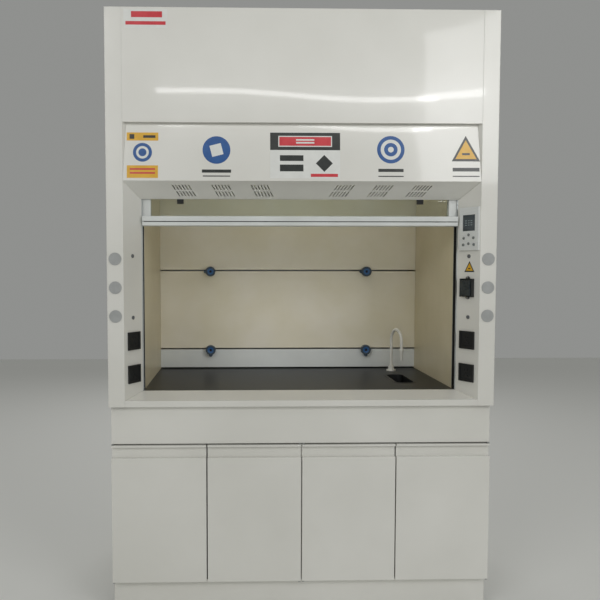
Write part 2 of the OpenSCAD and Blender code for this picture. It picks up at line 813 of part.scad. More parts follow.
// Smoky cover, hinged at its top on two stub pins
module breaker_cover() {
    w = breaker_w/2 - cheek - 0.6;
    z0 = 5.6;
    z1 = breaker_t + 6;
    low = -breaker_h/2 + 4;
    top = cover_top + 4;
    color("#3b4246", 0.6) on_bevel(service_s, breaker_z) {
        difference() {
            box([-w, low, z0], [w, top, z1]);
            box([-w + 2, low + 2, z0 - eps], [w - 2, top - 8, z1 - 2]);
            box([-w + 4, top - 9, z0 - eps], [w - 4, top + eps, breaker_t - 2]);
            box([-w - eps, top - 10, z0 - eps], [w + eps, top + eps, z0 + 2]);
        }
        translate([-w - 4, cover_top, breaker_t - 5]) rotate([0, 90, 0]) cylinder(h = 8, r = cover_pin);
        translate([w - 4, cover_top, breaker_t - 5]) rotate([0, 90, 0]) cylinder(h = 8, r = cover_pin);
    }
}

// Four flush sockets with a recessed five-slot face
module sockets() {
    c = socket_w/2;
    color(dark) both() for (z = socket_z) on_bevel(service_s, z) difference() {
        union() {
            box([-c, -c, 0], [c, c, 7]);
            box([-c + 6, -c + 6, -20], [c - 6, c - 6, eps]);
        }
        box([-c + 8, -c + 8, 4], [c - 8, c - 8, 7 + eps]);
        for (s = [-1, 1]) {
            translate([s*6, 12, 0]) cube([2.2, 8, 12], center = true);
            translate([s*9, -12, 0]) rotate([0, 0, s*30]) cube([2.2, 8, 12], center = true);
        }
        translate([0, -2, 0]) cube([2.2, 8, 12], center = true);
    }
}

// Caps that close the spare valve holes in the posts
module hole_caps() {
    color("#a9abaa") both() for (z = cap_z) translate([xo - post_face_w/2, yf, z]) rotate([90, 0, 0]) {
        cylinder(h = cap_rise, r = cap_d/2);
        translate([0, 0, -10]) difference() {
            cylinder(h = 10 + eps/2, r = cap_hole_r - plug_gap);
            translate([0, 0, -eps]) cylinder(h = 9, r = cap_hole_r - 2.5);
        }
    }
}

// ---- Worktop and its fittings ----

module worktop() {
    color("#3e4240") difference() {
        box([-xa - board, yi + worktop_back, z_work - worktop_t],
            [xa + board, yb - sheet - gap, z_work]);
        translate([sink_x, sink_y, z_work - worktop_t - eps]) linear_extrude(worktop_t + 2*eps)
            round_rect(sink_w - 16, sink_l - 16, 30);
        translate([sink_x, sink_y, z_work - 3]) linear_extrude(3 + eps)
            round_rect(sink_w + 2*gap, sink_l + 2*gap, 38);
        translate([tap_x, tap_y, z_work - worktop_t - eps]) cylinder(h = worktop_t + 2*eps, r = 11.5);
    }
}

// Drop-in bowl with a thin rim let into the worktop
module cup_sink() {
    wall = 3;
    bowl_w = sink_w - 16 - 2*gap;
    bowl_l = sink_l - 16 - 2*gap;
    color("#1d1f20") translate([sink_x, sink_y, z_work - sink_depth]) difference() {
        union() {
            translate([0, 0, sink_depth - 3]) linear_extrude(4) round_rect(sink_w, sink_l, 38 - gap);
            linear_extrude(sink_depth) round_rect(bowl_w, bowl_l, 30 - gap);
        }
        translate([0, 0, wall]) linear_extrude(sink_depth)
            round_rect(bowl_w - 2*wall, bowl_l - 2*wall, 27 - gap);
        translate([0, 0, -eps]) cylinder(h = wall + 2*eps, r = drain_r + 0.5);
    }
}

// Strainer, backing nut and tail pipe under the bowl
module sink_drain() {
    color("#2b2d2e") translate([sink_x, sink_y, z_work - sink_depth + 3]) difference() {
        union() {
            cylinder(h = 2, r = drain_r + 8);
            translate([0, 0, -75]) cylinder(h = 76, r = drain_r);
            translate([0, 0, -18]) cylinder(h = 15, r = drain_r + 10, $fn = 6);
        }
        translate([0, 0, -76]) cylinder(h = 75, r = drain_r - 2.5);
        for (a = [0:60:300]) rotate([0, 0, a]) translate([9, 0, -3]) cylinder(h = 8, r = 2.6);
        translate([0, 0, -3]) cylinder(h = 8, r = 2.6);
    }
}

tap_bore = 8;
spout_seat = 20;

// Flange, shank through the worktop, backing nut and inlet tail
module faucet_base() {
    color("#d9dad6") translate([tap_x, tap_y, z_work]) difference() {
        union() {
            cylinder(h = 6, r = 22);
            translate([0, 0, 6]) cylinder(h = 18, r = 14);
            translate([0, 0, -60]) cylinder(h = 61, r = 11);
            translate([0, 0, -worktop_t - 10]) cylinder(h = 10, r = 19, $fn = 6);
            translate([0, 0, -110]) cylinder(h = 51, r = 10);
        }
        translate([0, 0, 24 - spout_seat]) cylinder(h = spout_seat + eps, r = tap_bore + fit);
        translate([0, 0, -111]) cylinder(h = 130, r = 5);
    }
}

// Swivelling gooseneck with a collar and a tapered hose nozzle
module faucet_spout() {
    r = spout_reach/2;
    rise = 210 - r - spout_r;
    z0 = 24 - spout_seat + gap;
    color("#dddfdc") translate([tap_x, tap_y, z_work]) rotate([0, 0, spout_a]) {
        difference() {
            union() {
                translate([0, 0, z0]) cylinder(h = 22, r = tap_bore);
                translate([0, 0, 24.5]) cylinder(h = rise - 24.5, r = spout_r);
                translate([0, 0, 24.5]) cylinder(h = 5, r = 11);
            }
            translate([0, 0, z0 - eps]) cylinder(h = rise - z0 + eps, r = spout_r - 2);
        }
        translate([0, -r, rise]) rotate([90, 0, 90]) rotate_extrude(angle = 180) difference() {
            translate([r, 0]) circle(spout_r);
            translate([r, 0]) circle(spout_r - 2);
        }
        translate([0, -2*r, rise]) rotate([180, 0, 0]) difference() {
            union() {
                cylinder(h = 36, r = spout_r);
                translate([0, 0, 34]) cylinder(h = 9, r = 11);
                translate([0, 0, 42]) cylinder(h = 44, r1 = 8, r2 = 4.5);
            }
            translate([0, 0, -eps]) cylinder(h = 90, r = 3);
        }
    }
}

base_carcass();
base_divider();
apron();
toe_kick();
levelling_feet();
hinge_plates();
door_1();
door_2();
door_3();
door_4();
side_panel_left();
side_panel_right();
post_left();
post_right();
top_panel();
header_panel();
sill();
roof_panel();
exhaust_collar();
rear_panel();
liner_left();
liner_right();
liner_ceiling();
baffle_upper();
baffle_middle();
baffle_lower();
knob_upper_left();
knob_upper_right();
knob_lower_left();
knob_lower_right();
sash_tracks();
sash_gaskets();
sash_stops();
sash_glass();
sash_frame();
sash_handle();
pulley_shaft();
shaft_brackets();
counterweights();
sash_cables();
control_panel();
display_window();
key_up();
key_down();
key_left();
key_right();
key_fan();
key_lamp();
breaker_housing();
breaker_lever();
breaker_cover();
sockets();
hole_caps();
worktop();
cup_sink();
sink_drain();
faucet_base();
faucet_spout();
lamp_housing();
lamp_lens();
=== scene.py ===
"""Bench fume hood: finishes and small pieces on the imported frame. Metres, +Z up, front at -Y."""
import math

import bpy
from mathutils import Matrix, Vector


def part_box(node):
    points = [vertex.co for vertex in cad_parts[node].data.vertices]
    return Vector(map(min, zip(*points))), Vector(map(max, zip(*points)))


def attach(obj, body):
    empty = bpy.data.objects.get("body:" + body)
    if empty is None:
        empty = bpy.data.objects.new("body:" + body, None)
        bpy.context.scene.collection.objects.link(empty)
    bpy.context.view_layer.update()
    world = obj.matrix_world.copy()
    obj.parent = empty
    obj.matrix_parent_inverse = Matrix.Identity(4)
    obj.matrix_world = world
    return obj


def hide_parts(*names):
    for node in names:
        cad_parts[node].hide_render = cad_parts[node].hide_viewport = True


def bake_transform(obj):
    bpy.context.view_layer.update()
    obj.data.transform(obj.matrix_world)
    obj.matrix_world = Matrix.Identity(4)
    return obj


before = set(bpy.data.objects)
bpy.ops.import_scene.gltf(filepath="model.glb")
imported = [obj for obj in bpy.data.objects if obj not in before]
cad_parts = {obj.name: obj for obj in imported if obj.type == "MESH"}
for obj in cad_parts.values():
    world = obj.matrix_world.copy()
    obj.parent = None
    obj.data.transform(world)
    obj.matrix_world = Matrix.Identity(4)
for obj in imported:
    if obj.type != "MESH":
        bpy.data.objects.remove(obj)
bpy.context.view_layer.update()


# ---- Studio -------------------------------------------------------------------------------
# A camera a little left of the middle at eye height, and a pale plain floor. Soft lamps stand
# in front, and two narrow ceiling lamps draw long highlights on the gloss enamel.
camera = bpy.data.objects.new("camera", bpy.data.cameras.new("camera"))
bpy.context.collection.objects.link(camera)
bpy.context.scene.camera = camera
camera.location = (-0.253, -2.8875, 1.364)
camera.rotation_euler = (math.radians(90 - 2.98), 0, math.radians(-1.32))
camera.data.sensor_width = 36
camera.data.lens = 38.5
camera.data.shift_x = 0.0802
camera.data.shift_y = 0.0065


def studio_lamp(name, location, target, size, watts, tint=(1, 1, 1)):
    """Adds a rectangular soft lamp that points at a target."""
    bpy.ops.object.light_add(type="AREA", location=location)
    lamp = bpy.context.object
    lamp.name = name
    lamp.data.shape = "RECTANGLE"
    lamp.data.size, lamp.data.size_y = size
    lamp.data.energy = watts
    lamp.data.color = tint
    lamp.visible_camera = False
    aim = [t - p for t, p in zip(target, location)]
    across = math.hypot(aim[0], aim[1])
    lamp.rotation_euler = (math.atan2(across, -aim[2]), 0, math.atan2(-aim[0], aim[1]))


studio_lamp("key", (-2.6, -4.2, 3.4), (0, 0, 1.4), (2.2, 1.6), 42)
studio_lamp("fill", (2.8, -4.2, 3.0), (0, 0, 1.4), (2.2, 1.8), 46)
studio_lamp("low", (0.2, -5.0, 0.9), (0, 0, 0.7), (3.0, 1.2), 9)
studio_lamp("back", (0.0, 4.0, 3.4), (0, 0, 1.4), (3.0, 2.0), 40)
studio_lamp("tube", (0.08, -1.2, 2.26), (0.08, -0.42, 2.0), (1.40, 0.022), 1.0)
studio_lamp("tube_right", (0.85, -1.2, 2.28), (0.62, -0.42, 2.0), (0.36, 0.03), 0.3)
world = bpy.data.worlds.new("studio")
world.use_nodes = True
world.node_tree.nodes["Background"].inputs["Color"].default_value = (0.66, 0.67, 0.65, 1)
world.node_tree.nodes["Background"].inputs["Strength"].default_value = 0.42
bpy.context.scene.world = world
bpy.context.scene.view_settings.view_transform = "Standard"


def linear(code):
    """Turns an sRGB hex colour to linear RGBA."""
    channels = [int(code[i:i + 2], 16) / 255 for i in (1, 3, 5)]
    return tuple(c / 12.92 if c <= 0.04045 else ((c + 0.055) / 1.055) ** 2.4 for c in channels) + (1,)


def finish_named(name, colour, roughness, **sockets):
    """Starts a material and returns it with its Principled shader."""
    material = bpy.data.materials.new(name)
    material.use_nodes = True
    shader = material.node_tree.nodes["Principled BSDF"]
    shader.inputs["Base Color"].default_value = linear(colour)
    shader.inputs["Roughness"].default_value = roughness
    for socket, value in sockets.items():
        shader.inputs[socket.replace("_", " ")].default_value = value
    return material, shader


def start():
    """Deselects everything before a new primitive."""
    bpy.ops.object.select_all(action="DESELECT")


start()
bpy.ops.mesh.primitive_plane_add(size=14, location=(0, 0, -0.0005))
floor = bpy.context.object
floor.name = "floor"
floor_finish, _ = finish_named("pale_floor", "#ecece8", 0.6)
floor.data.materials.append(floor_finish)


# ---- Enamelled steel shell ----------------------------------------------------------------
# Folded sheet steel 1.5 mm thick with a white powder coat, baked to a gloss. The coat has a
# faint orange peel 3 mm across, the wide panels are wavy over half a metre by 2 or 3 mm, and
# folded edges are rounded by the sheet's thickness.
def add(material, kind, inputs=None, **settings):
    """Adds a shader node. Inputs are values or other nodes' outputs, by socket name or number."""
    made = material.node_tree.nodes.new(kind)
    for name, value in settings.items():
        setattr(made, name, value)
    for socket, value in (inputs or {}).items():
        if isinstance(value, bpy.types.NodeSocket):
            material.node_tree.links.new(value, made.inputs[socket])
        else:
            made.inputs[socket].default_value = value
    return made


def connect(material, output, socket):
    """Links one output to a socket."""
    material.node_tree.links.new(output, socket)


def mottle(material, shader, colours, size, stretch=(1, 1, 1), low=0.35, high=0.65):
    """Colours that drift between two hex values in patches of a size in metres."""
    place = add(material, "ShaderNodeTexCoord")
    scaled = add(material, "ShaderNodeMapping", {0: place.outputs["Object"], "Scale": stretch})
    noise = add(material, "ShaderNodeTexNoise",
                {"Vector": scaled.outputs[0], "Scale": 1 / size, "Detail": 4.0})
    ramp = add(material, "ShaderNodeValToRGB", {0: noise.outputs["Fac"]})
    ramp.color_ramp.elements[0].position = low
    ramp.color_ramp.elements[1].position = high
    ramp.color_ramp.elements[0].color = linear(colours[0])
    ramp.color_ramp.elements[1].color = linear(colours[1])
    connect(material, ramp.outputs["Color"], shader.inputs["Base Color"])
    return scaled


panel_wave = 0.55


def relief(material, shader, scaled, size, height, edge=0.0, wave=0.0):
    """Bump of a grain size and height in metres, over rounded edges and a slow waviness."""
    normal = None
    if edge:
        normal = add(material, "ShaderNodeBevel", {"Radius": edge}, samples=4).outputs[0]
    if wave:
        slow = add(material, "ShaderNodeTexNoise",
                   {"Vector": scaled.outputs[0], "Scale": 1 / panel_wave, "Detail": 0.0})
        waves = add(material, "ShaderNodeBump", {"Height": slow.outputs["Fac"], "Distance": wave})
        connect(material, normal, waves.inputs["Normal"])
        normal = waves.outputs[0]
    noise = add(material, "ShaderNodeTexNoise",
                {"Vector": scaled.outputs[0], "Scale": 1 / size, "Detail": 2.0})
    bump = add(material, "ShaderNodeBump",
               {"Height": noise.outputs["Fac"], "Distance": height, "Strength": 0.6})
    if normal:
        connect(material, normal, bump.inputs["Normal"])
    connect(material, bump.outputs[0], shader.inputs["Normal"])
    return bump.outputs[0]


def coat(material, *names):
    """Gives CAD nodes a material through their slots."""
    for name in names:
        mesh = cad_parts[name].data
        mesh.materials.clear()
        mesh.materials.append(material)


enamel, enamel_shader = finish_named("white_powder_coat", "#e4e3dd", 0.26, Coat_Weight=0.6, Coat_Roughness=0.06)
enamel_place = mottle(enamel, enamel_shader, ("#dcdbd4", "#e6e5df"), 0.6)
enamel_face = relief(enamel, enamel_shader, enamel_place, 0.0035, 0.00002, edge=0.0012, wave=0.025)
connect(enamel, enamel_face, enamel_shader.inputs["Coat Normal"])
coat(enamel, "base_carcass", "base_divider", "apron", "toe_kick", "door_1", "door_2", "door_3", "door_4",
     "side_panel_left", "side_panel_right", "post_left", "post_right", "top_panel", "header_panel", "sill",
     "roof_panel", "rear_panel", "lamp_housing")


# ---- Lining and baffles -------------------------------------------------------------------
# Compact laminate boards 6 mm thick with a satin melamine face: fawn on the side walls and
# the ceiling, cream on the two upper baffles and cool grey on the lower one.
def laminate(name, colours):
    """Satin melamine face with a faint cloudy tone and a fine texture 1 mm across."""
    material, shader = finish_named(name, colours[0], 0.38)
    scaled = mottle(material, shader, colours, 0.25)
    relief(material, shader, scaled, 0.001, 0.00003, edge=0.0006)
    return material


coat(laminate("fawn_laminate", ("#cfc5a6", "#d8ceb2")), "liner_left", "liner_right", "liner_ceiling")
coat(laminate("cream_laminate", ("#ebe4cb", "#f3eddb")), "baffle_upper", "baffle_middle")
coat(laminate("cool_grey_laminate", ("#e0e4e2", "#e9edeb")), "baffle_lower")


# ---- Worktop, sink and tap ----------------------------------------------------------------
# The worktop is a dark grey technical ceramic slab with a satin glaze and a fine speckle. The
# drop-in sink and its drain are moulded black polypropylene, and the tap is pale polypropylene.
slab, slab_shader = finish_named("dark_ceramic_slab", "#17191c", 0.38, Specular_IOR_Level=0.35)
slab_place = mottle(slab, slab_shader, ("#131517", "#202325"), 0.004, low=0.42, high=0.6)
relief(slab, slab_shader, slab_place, 0.002, 0.00004, edge=0.001)
coat(slab, "worktop")


def moulded(name, colours, roughness, grain=0.0012, height=0.00003, edge=0.0008):
    """Moulded plastic with the fine spark texture of its mould and a faintly uneven tone."""
    material, shader = finish_named(name, colours[0], roughness)
    scaled = mottle(material, shader, colours, 0.03)
    relief(material, shader, scaled, grain, height, edge)
    return material


coat(moulded("black_polypropylene", ("#141617", "#1b1d1e"), 0.42), "cup_sink", "sink_drain")
coat(moulded("pale_polypropylene", ("#e4e4de", "#ebebe5"), 0.3), "faucet_base", "faucet_spout")


# ---- Tracks, drive and duct metal ---------------------------------------------------------
# Extruded aluminium tracks anodised satin, zinc plated steel for the drive and hinges, bright
# drawn bar for the weights, and a galvanised spigot on the roof.
def metal(name, colours, roughness, grain, stretch, height=0.00002):
    """Metal with fine lines along one way, left by drawing or brushing."""
    material, shader = finish_named(name, colours[0], roughness, Metallic=1.0)
    scaled = mottle(material, shader, colours, grain, stretch)
    relief(material, shader, scaled, grain, height, edge=0.0005)
    return material


coat(metal("satin_anodised_aluminium", ("#a8acab", "#b6bab9"), 0.36, 0.002, (1, 1, 0.02)), "sash_tracks")
zinc = metal("zinc_plated_steel", ("#9a9c9b", "#b2b4b2"), 0.35, 0.006, (1, 1, 1))
coat(zinc, "hinge_plates", "levelling_feet", "shaft_brackets", "pulley_shaft")
coat(metal("bright_drawn_bar", ("#77797a", "#8a8c8d"), 0.4, 0.002, (1, 1, 0.03)), "counterweights")
coat(metal("galvanised_sheet", ("#9fa3a4", "#b9bdbe"), 0.42, 0.012, (1, 1, 1)), "exhaust_collar")
rubber = moulded("black_rubber", ("#171818", "#1e1f1f"), 0.75, grain=0.0015, height=0.00008)
coat(rubber, "sash_gaskets", "sash_stops")


# ---- Sash ---------------------------------------------------------------------------------
# Toughened float glass 6 mm thick, faintly wavy from its furnace rollers, in a frame of white
# coated aluminium extrusions.
glass, glass_shader = finish_named("toughened_glass", "#eef6f3", 0.01, Transmission_Weight=1.0, IOR=1.5)
glass_place = mottle(glass, glass_shader, ("#ebf4f1", "#f2f9f6"), 0.3)
relief(glass, glass_shader, glass_place, 0.25, 0.0002)
coat(glass, "sash_glass")
coated, coated_shader = finish_named("white_coated_extrusion", "#d5d8d5", 0.3, Coat_Weight=0.2)
coated_place = mottle(coated, coated_shader, ("#cfd2cf", "#dadddb"), 0.15)
relief(coated, coated_shader, coated_place, 0.002, 0.00003, edge=0.001)
coat(coated, "sash_frame", "sash_handle")


# ---- Control panel, breaker, sockets and lamp ---------------------------------------------
# A silver printed film covers the panel's fascia, round a dark window. The breaker and the
# sockets are black moulded plastic, the breaker's cover is smoky, and the lamp lens is opal.
fascia, fascia_shader = finish_named("silver_film_fascia", "#d2d5d3", 0.28, Metallic=0.1)
fascia_place = mottle(fascia, fascia_shader, ("#dcdfdd", "#e6e8e6"), 0.002, (0.04, 0.04, 1))
relief(fascia, fascia_shader, fascia_place, 0.002, 0.00002, edge=0.001)
coat(fascia, "control_panel")
screen, screen_shader = finish_named("dark_display_window", "#41494e", 0.08, Coat_Weight=0.6)
screen_place = mottle(screen, screen_shader, ("#3a4247", "#4a5257"), 0.05)
relief(screen, screen_shader, screen_place, 0.03, 0.00005)
coat(screen, "display_window")
coat(moulded("grey_key_plastic", ("#828785", "#8b908e"), 0.45), "key_up", "key_down", "key_left", "key_right",
     "key_fan", "key_lamp")
coat(moulded("black_moulded_plastic", ("#121415", "#191b1c"), 0.45), "sockets", "breaker_housing",
     "breaker_lever")
coat(moulded("grey_cap_plastic", ("#a0a2a1", "#a9abaa"), 0.5, grain=0.002), "hole_caps")
smoky, smoky_shader = finish_named("smoky_polycarbonate", "#3a4347", 0.12, Alpha=0.6, Coat_Weight=0.5)
smoky_place = mottle(smoky, smoky_shader, ("#363f43", "#41494d"), 0.02)
relief(smoky, smoky_shader, smoky_place, 0.02, 0.00002, edge=0.001)
coat(smoky, "breaker_cover")
opal, opal_shader = finish_named("opal_diffuser", "#f4f3ea", 0.5, Emission_Color=(1, 0.97, 0.9, 1),
                                 Emission_Strength=6.5)
opal_place = mottle(opal, opal_shader, ("#f1f0e6", "#f6f5ed"), 0.1)
relief(opal, opal_shader, opal_place, 0.002, 0.0001, edge=0.001)
coat(opal, "lamp_lens")


# ---- Signs --------------------------------------------------------------------------------
# Printed vinyl stickers about 0.3 mm thick, pressed on the header and the top panel. They are
# plain coloured shapes without lettering; each sign's layers are joined into one piece.
header_low, header_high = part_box("header_panel")
header_front = 0.2195
header_setback = 0.019
header_lean = math.atan2(header_setback, header_front)
vinyl_t = 0.0003


def vinyl(name, colours):
    """Laminated print on vinyl film, faintly uneven where it was squeegeed down."""
    material, shader = finish_named(name, colours[0], 0.3, Coat_Weight=0.3)
    scaled = mottle(material, shader, colours, 0.03)
    relief(material, shader, scaled, 0.004, 0.00002)
    return material


white_film = vinyl("white_vinyl_film", ("#dddeda", "#e2e3df"))
blue_film = vinyl("blue_vinyl_film", ("#1f5190", "#2a5c9b"))
yellow_film = vinyl("yellow_vinyl_film", ("#dba728", "#e4b236"))
red_film = vinyl("red_vinyl_film", ("#c8323c", "#d13e46"))
black_film = vinyl("black_vinyl_film", ("#262a28", "#2f3331"))


def layer(sides, width, height, x, z, level, material, turn=0.0):
    """Adds one flat layer of a sign: a disc, triangle or bar, centred and lifted by its level."""
    start()
    square, wide, tall, drop = (sides == 4), 1.0, 1.0, 0.0
    if sides == 3:
        wide, tall, drop = 2 / math.sqrt(3), 4 / 3, height / 6
    bpy.ops.mesh.primitive_circle_add(vertices=sides, radius=math.sqrt(0.5) if square else 0.5,
                                      fill_type="NGON", rotation=(0, 0, math.pi / 4 if square else 0))
    shape = bpy.context.object
    bpy.ops.object.transform_apply(location=False, rotation=True, scale=False)
    bpy.ops.object.mode_set(mode="EDIT")
    bpy.ops.mesh.select_all(action="SELECT")
    bpy.ops.transform.resize(value=(width * wide, height * tall, 1), center_override=(0, 0, 0))
    bpy.ops.mesh.extrude_region_move(TRANSFORM_OT_translate={"value": (0, 0, vinyl_t)})
    bpy.ops.mesh.select_all(action="SELECT")
    bpy.ops.mesh.normals_make_consistent(inside=False)
    bpy.ops.object.mode_set(mode="OBJECT")
    shape.data.materials.append(material)
    shape.rotation_euler = (0, 0, turn)
    shape.location = (x, z - drop, level * vinyl_t * 1.02)
    bpy.ops.object.transform_apply(location=True, rotation=True, scale=False)
    return shape


def tidy_piece(name, material, body):
    """Ends a new piece: names it, applies its place, sets its material and its body."""
    piece = bpy.context.object
    piece.name = piece.data.name = name
    bpy.ops.object.transform_apply(location=True, rotation=True, scale=True)
    if material and not piece.data.materials:
        piece.data.materials.append(material)
    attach(piece, body)
    return piece


def sign(name, layers, origin, turns):
    """Joins a sign's layers and stands it on its panel."""
    shapes = [layer(*one) for one in layers]
    start()
    for shape in shapes:
        shape.select_set(True)
    bpy.context.view_layer.objects.active = shapes[0]
    bpy.ops.object.join()
    bpy.context.object.location = origin
    bpy.context.object.rotation_euler = turns
    return tidy_piece(name, None, "hood")


for name, x, layers in (
        ("sign_left", -0.612, [
            (4, 0.120, 0.031, 0, 0.1685, 0, yellow_film), (4, 0.018, 0.018, -0.040, 0.1685, 1, black_film),
            (4, 0.046, 0.010, 0.026, 0.1685, 1, black_film), (64, 0.072, 0.072, 0, 0.108, 0, blue_film),
            (64, 0.048, 0.048, 0, 0.108, 1, white_film), (64, 0.030, 0.030, 0, 0.108, 2, blue_film),
            (4, 0.118, 0.048, 0, 0.034, 0, yellow_film), (4, 0.096, 0.006, 0, 0.044, 1, red_film),
            (4, 0.096, 0.006, 0, 0.029, 1, red_film)]),
        ("sign_second", -0.331, [
            (64, 0.106, 0.106, 0, 0.118, 0, blue_film), (4, 0.044, 0.044, 0, 0.118, 1, white_film, 0.25),
            (4, 0.111, 0.012, 0, 0.037, 0, black_film), (4, 0.104, 0.004, 0, 0.018, 0, black_film)]),
        ("sign_middle", 0.008, [
            (4, 0.268, 0.178, 0, 0.099, 0, white_film), (4, 0.268, 0.067, 0, 0.1525, 1, black_film),
            (4, 0.206, 0.042, 0, 0.1525, 2, white_film), (4, 0.198, 0.034, 0, 0.1525, 3, red_film),
            (4, 0.070, 0.006, 0, 0.158, 4, white_film), (4, 0.070, 0.006, 0, 0.147, 4, white_film),
            (4, 0.090, 0.022, -0.052, 0.088, 1, black_film), (4, 0.090, 0.026, -0.052, 0.050, 1, black_film),
            (4, 0.104, 0.012, 0.073, 0.022, 1, red_film), (4, 0.046, 0.046, 0.073, 0.068, 1, black_film,
                                                            math.pi / 4)]),
        ("sign_fourth", 0.337, [
            (64, 0.106, 0.106, 0, 0.122, 0, blue_film), (64, 0.078, 0.078, 0, 0.122, 1, white_film),
            (64, 0.052, 0.052, 0, 0.122, 2, blue_film), (64, 0.022, 0.022, 0, 0.122, 3, white_film),
            (4, 0.097, 0.012, 0, 0.042, 0, black_film), (4, 0.097, 0.004, 0, 0.019, 0, black_film)]),
        ("sign_right", 0.627, [
            (3, 0.110, 0.099, 0, 0.1275, 0, black_film), (3, 0.082, 0.073, 0, 0.1235, 1, yellow_film),
            (4, 0.030, 0.008, 0, 0.106, 2, black_film), (4, 0.104, 0.014, 0, 0.046, 0, black_film),
            (4, 0.104, 0.004, 0, 0.020, 0, black_film)])):
    sign(name, layers, (x, header_low.y, header_high.z - header_front), (math.pi / 2 - header_lean, 0, 0))
top_low, top_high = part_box("top_panel")
sign("label_plate", [(4, 0.164, 0.070, 0, 0, 0, white_film), (4, 0.116, 0.022, 0.004, 0.015, 1, red_film),
                     (4, 0.150, 0.013, 0, -0.017, 1, red_film)],
     (-0.595, top_low.y, top_high.z - 0.041), (math.pi / 2, 0, 0))
bevel_in = 0.057
bevel_depth = 0.095
bevel_turn = math.atan2(bevel_depth, bevel_in)
post_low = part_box("post_right")[0]


def bevel_place(side, along, height, proud=0.0):
    """A point on a post's bevel or proud of it, and the turns that stand a flat piece there."""
    share = along / math.hypot(bevel_in, bevel_depth)
    x = post_low.x + (1 - share) * bevel_in - proud * math.sin(bevel_turn)
    y = post_low.y + share * bevel_depth - proud * math.cos(bevel_turn)
    return (side * x, y, height), (math.pi / 2, 0, -side * bevel_turn)


sign("sign_breaker", [(3, 0.048, 0.043, 0, 0, 0, black_film), (3, 0.034, 0.030, 0, -0.0015, 1, yellow_film),
                      (4, 0.010, 0.004, 0, -0.008, 2, black_film)], *bevel_place(1, 0.0505, 1.3795))


# ---- Screw covers -------------------------------------------------------------------------
# Dark polyethylene covers 15 mm across, pressed over the screws that fix the boxes behind the
# posts. Each is a low dome with a shallow dimple; one is modelled and copied.
def pick(piece, test):
    """Goes to edit mode with the faces selected that pass a test of centre and normal."""
    bpy.ops.object.mode_set(mode="EDIT")
    bpy.ops.mesh.select_mode(type="FACE")
    bpy.ops.mesh.select_all(action="DESELECT")
    bpy.ops.object.mode_set(mode="OBJECT")
    for face in piece.data.polygons:
        face.select = test(face.center, face.normal)
    bpy.ops.object.mode_set(mode="EDIT")


def soften(piece, width, segments=3):
    """Rounds a piece's edges and shades it smooth."""
    rounding = piece.modifiers.new("soften", "BEVEL")
    rounding.width = width
    rounding.segments = segments
    rounding.limit_method = "ANGLE"
    bpy.ops.object.modifier_apply(modifier="soften")
    bpy.ops.object.shade_smooth_by_angle(angle=math.radians(35))


def copy_of(model, name, place, turns, material, body):
    """Copies a model with its own mesh and stands the copy in its place."""
    start()
    model.select_set(True)
    bpy.context.view_layer.objects.active = model
    bpy.ops.object.duplicate()
    bpy.context.object.location = place
    bpy.context.object.rotation_euler = turns
    return tidy_piece(name, material, body)


def discard(model):
    """Removes a model once all its copies are made."""
    start()
    model.select_set(True)
    bpy.ops.object.delete()


def puck(vertices, radius, depth, x=0.0):
    """A cylinder that stands on z = 0, to be worked into a round piece."""
    start()
    bpy.ops.mesh.primitive_cylinder_add(vertices=vertices, radius=radius, depth=depth,
                                        location=(x, 0, depth / 2))
    bpy.ops.object.transform_apply(location=True, rotation=False, scale=False)
    return bpy.context.object


cover_plastic = moulded("dark_polyethylene", ("#5f6263", "#6a6d6e"), 0.45)
cover_along = 0.053
cover = puck(32, 0.0075, 0.0026)
pick(cover, lambda centre, normal: normal.z > 0.9)
bpy.ops.mesh.inset(thickness=0.0018, depth=0.0006)
bpy.ops.mesh.inset(thickness=0.0022, depth=0.0001)
bpy.ops.mesh.inset(thickness=0.0006, depth=-0.0009)
bpy.ops.object.mode_set(mode="OBJECT")
soften(cover, 0.0003, 2)
for side, label in ((-1, "left"), (1, "right")):
    for height, level in ((1.420, "upper"), (1.180, "lower")):
        place, turns = bevel_place(side, cover_along, height)
        copy_of(cover, f"screw_cover_{level}_{label}", place, turns, cover_plastic, "hood")
discard(cover)


# ---- Baffle knobs -------------------------------------------------------------------------
# Hand knobs in dark polypropylene with eight flutes and a blue inner ring round a deep bore, whose inside is
# painted near-black blue as painted shade.
# A rounded lug on one side locks the baffles; one knob is modelled and copied four times.
ring_plastic = moulded("blue_polypropylene", ("#2c5f97", "#346aa5"), 0.36)
rim_plastic = moulded("slate_polypropylene", ("#3a4a58", "#445564"), 0.5)
# Painted shade: a near-black blue for the walls and floor of the bore, darker than the knob's own blue.
bore_painted_shade = moulded("bore_painted_shade_blue", ("#0d1526", "#121b2e"), 0.5)
grip_r = 0.024
grip_t = 0.018
lug_height = 0.014
shank_length = 0.012
knob_x = 0.383
grip = puck(48, grip_r, grip_t)
for plastic in (rim_plastic, ring_plastic, bore_painted_shade):
    grip.data.materials.append(plastic)
pick(grip, lambda centre, normal: abs(normal.z) < 0.5 and
     round(math.degrees(math.atan2(centre.y, centre.x)) / 7.5 - 0.5) % 6 in (2, 3))
bpy.ops.mesh.inset(thickness=0.0008, depth=-0.0014)
pick(grip, lambda centre, normal: normal.z > 0.9 and centre.z > grip_t * 0.9)
bpy.ops.mesh.inset(thickness=0.0030, depth=0.0010)
bpy.ops.mesh.inset(thickness=0.0050, depth=-0.0004)
bpy.ops.mesh.inset(thickness=0.0010, depth=-0.0022)
bpy.ops.mesh.inset(thickness=0.0085, depth=0.0006)
bpy.ops.mesh.inset(thickness=0.0006, depth=-0.0100)
bpy.ops.object.mode_set(mode="OBJECT")
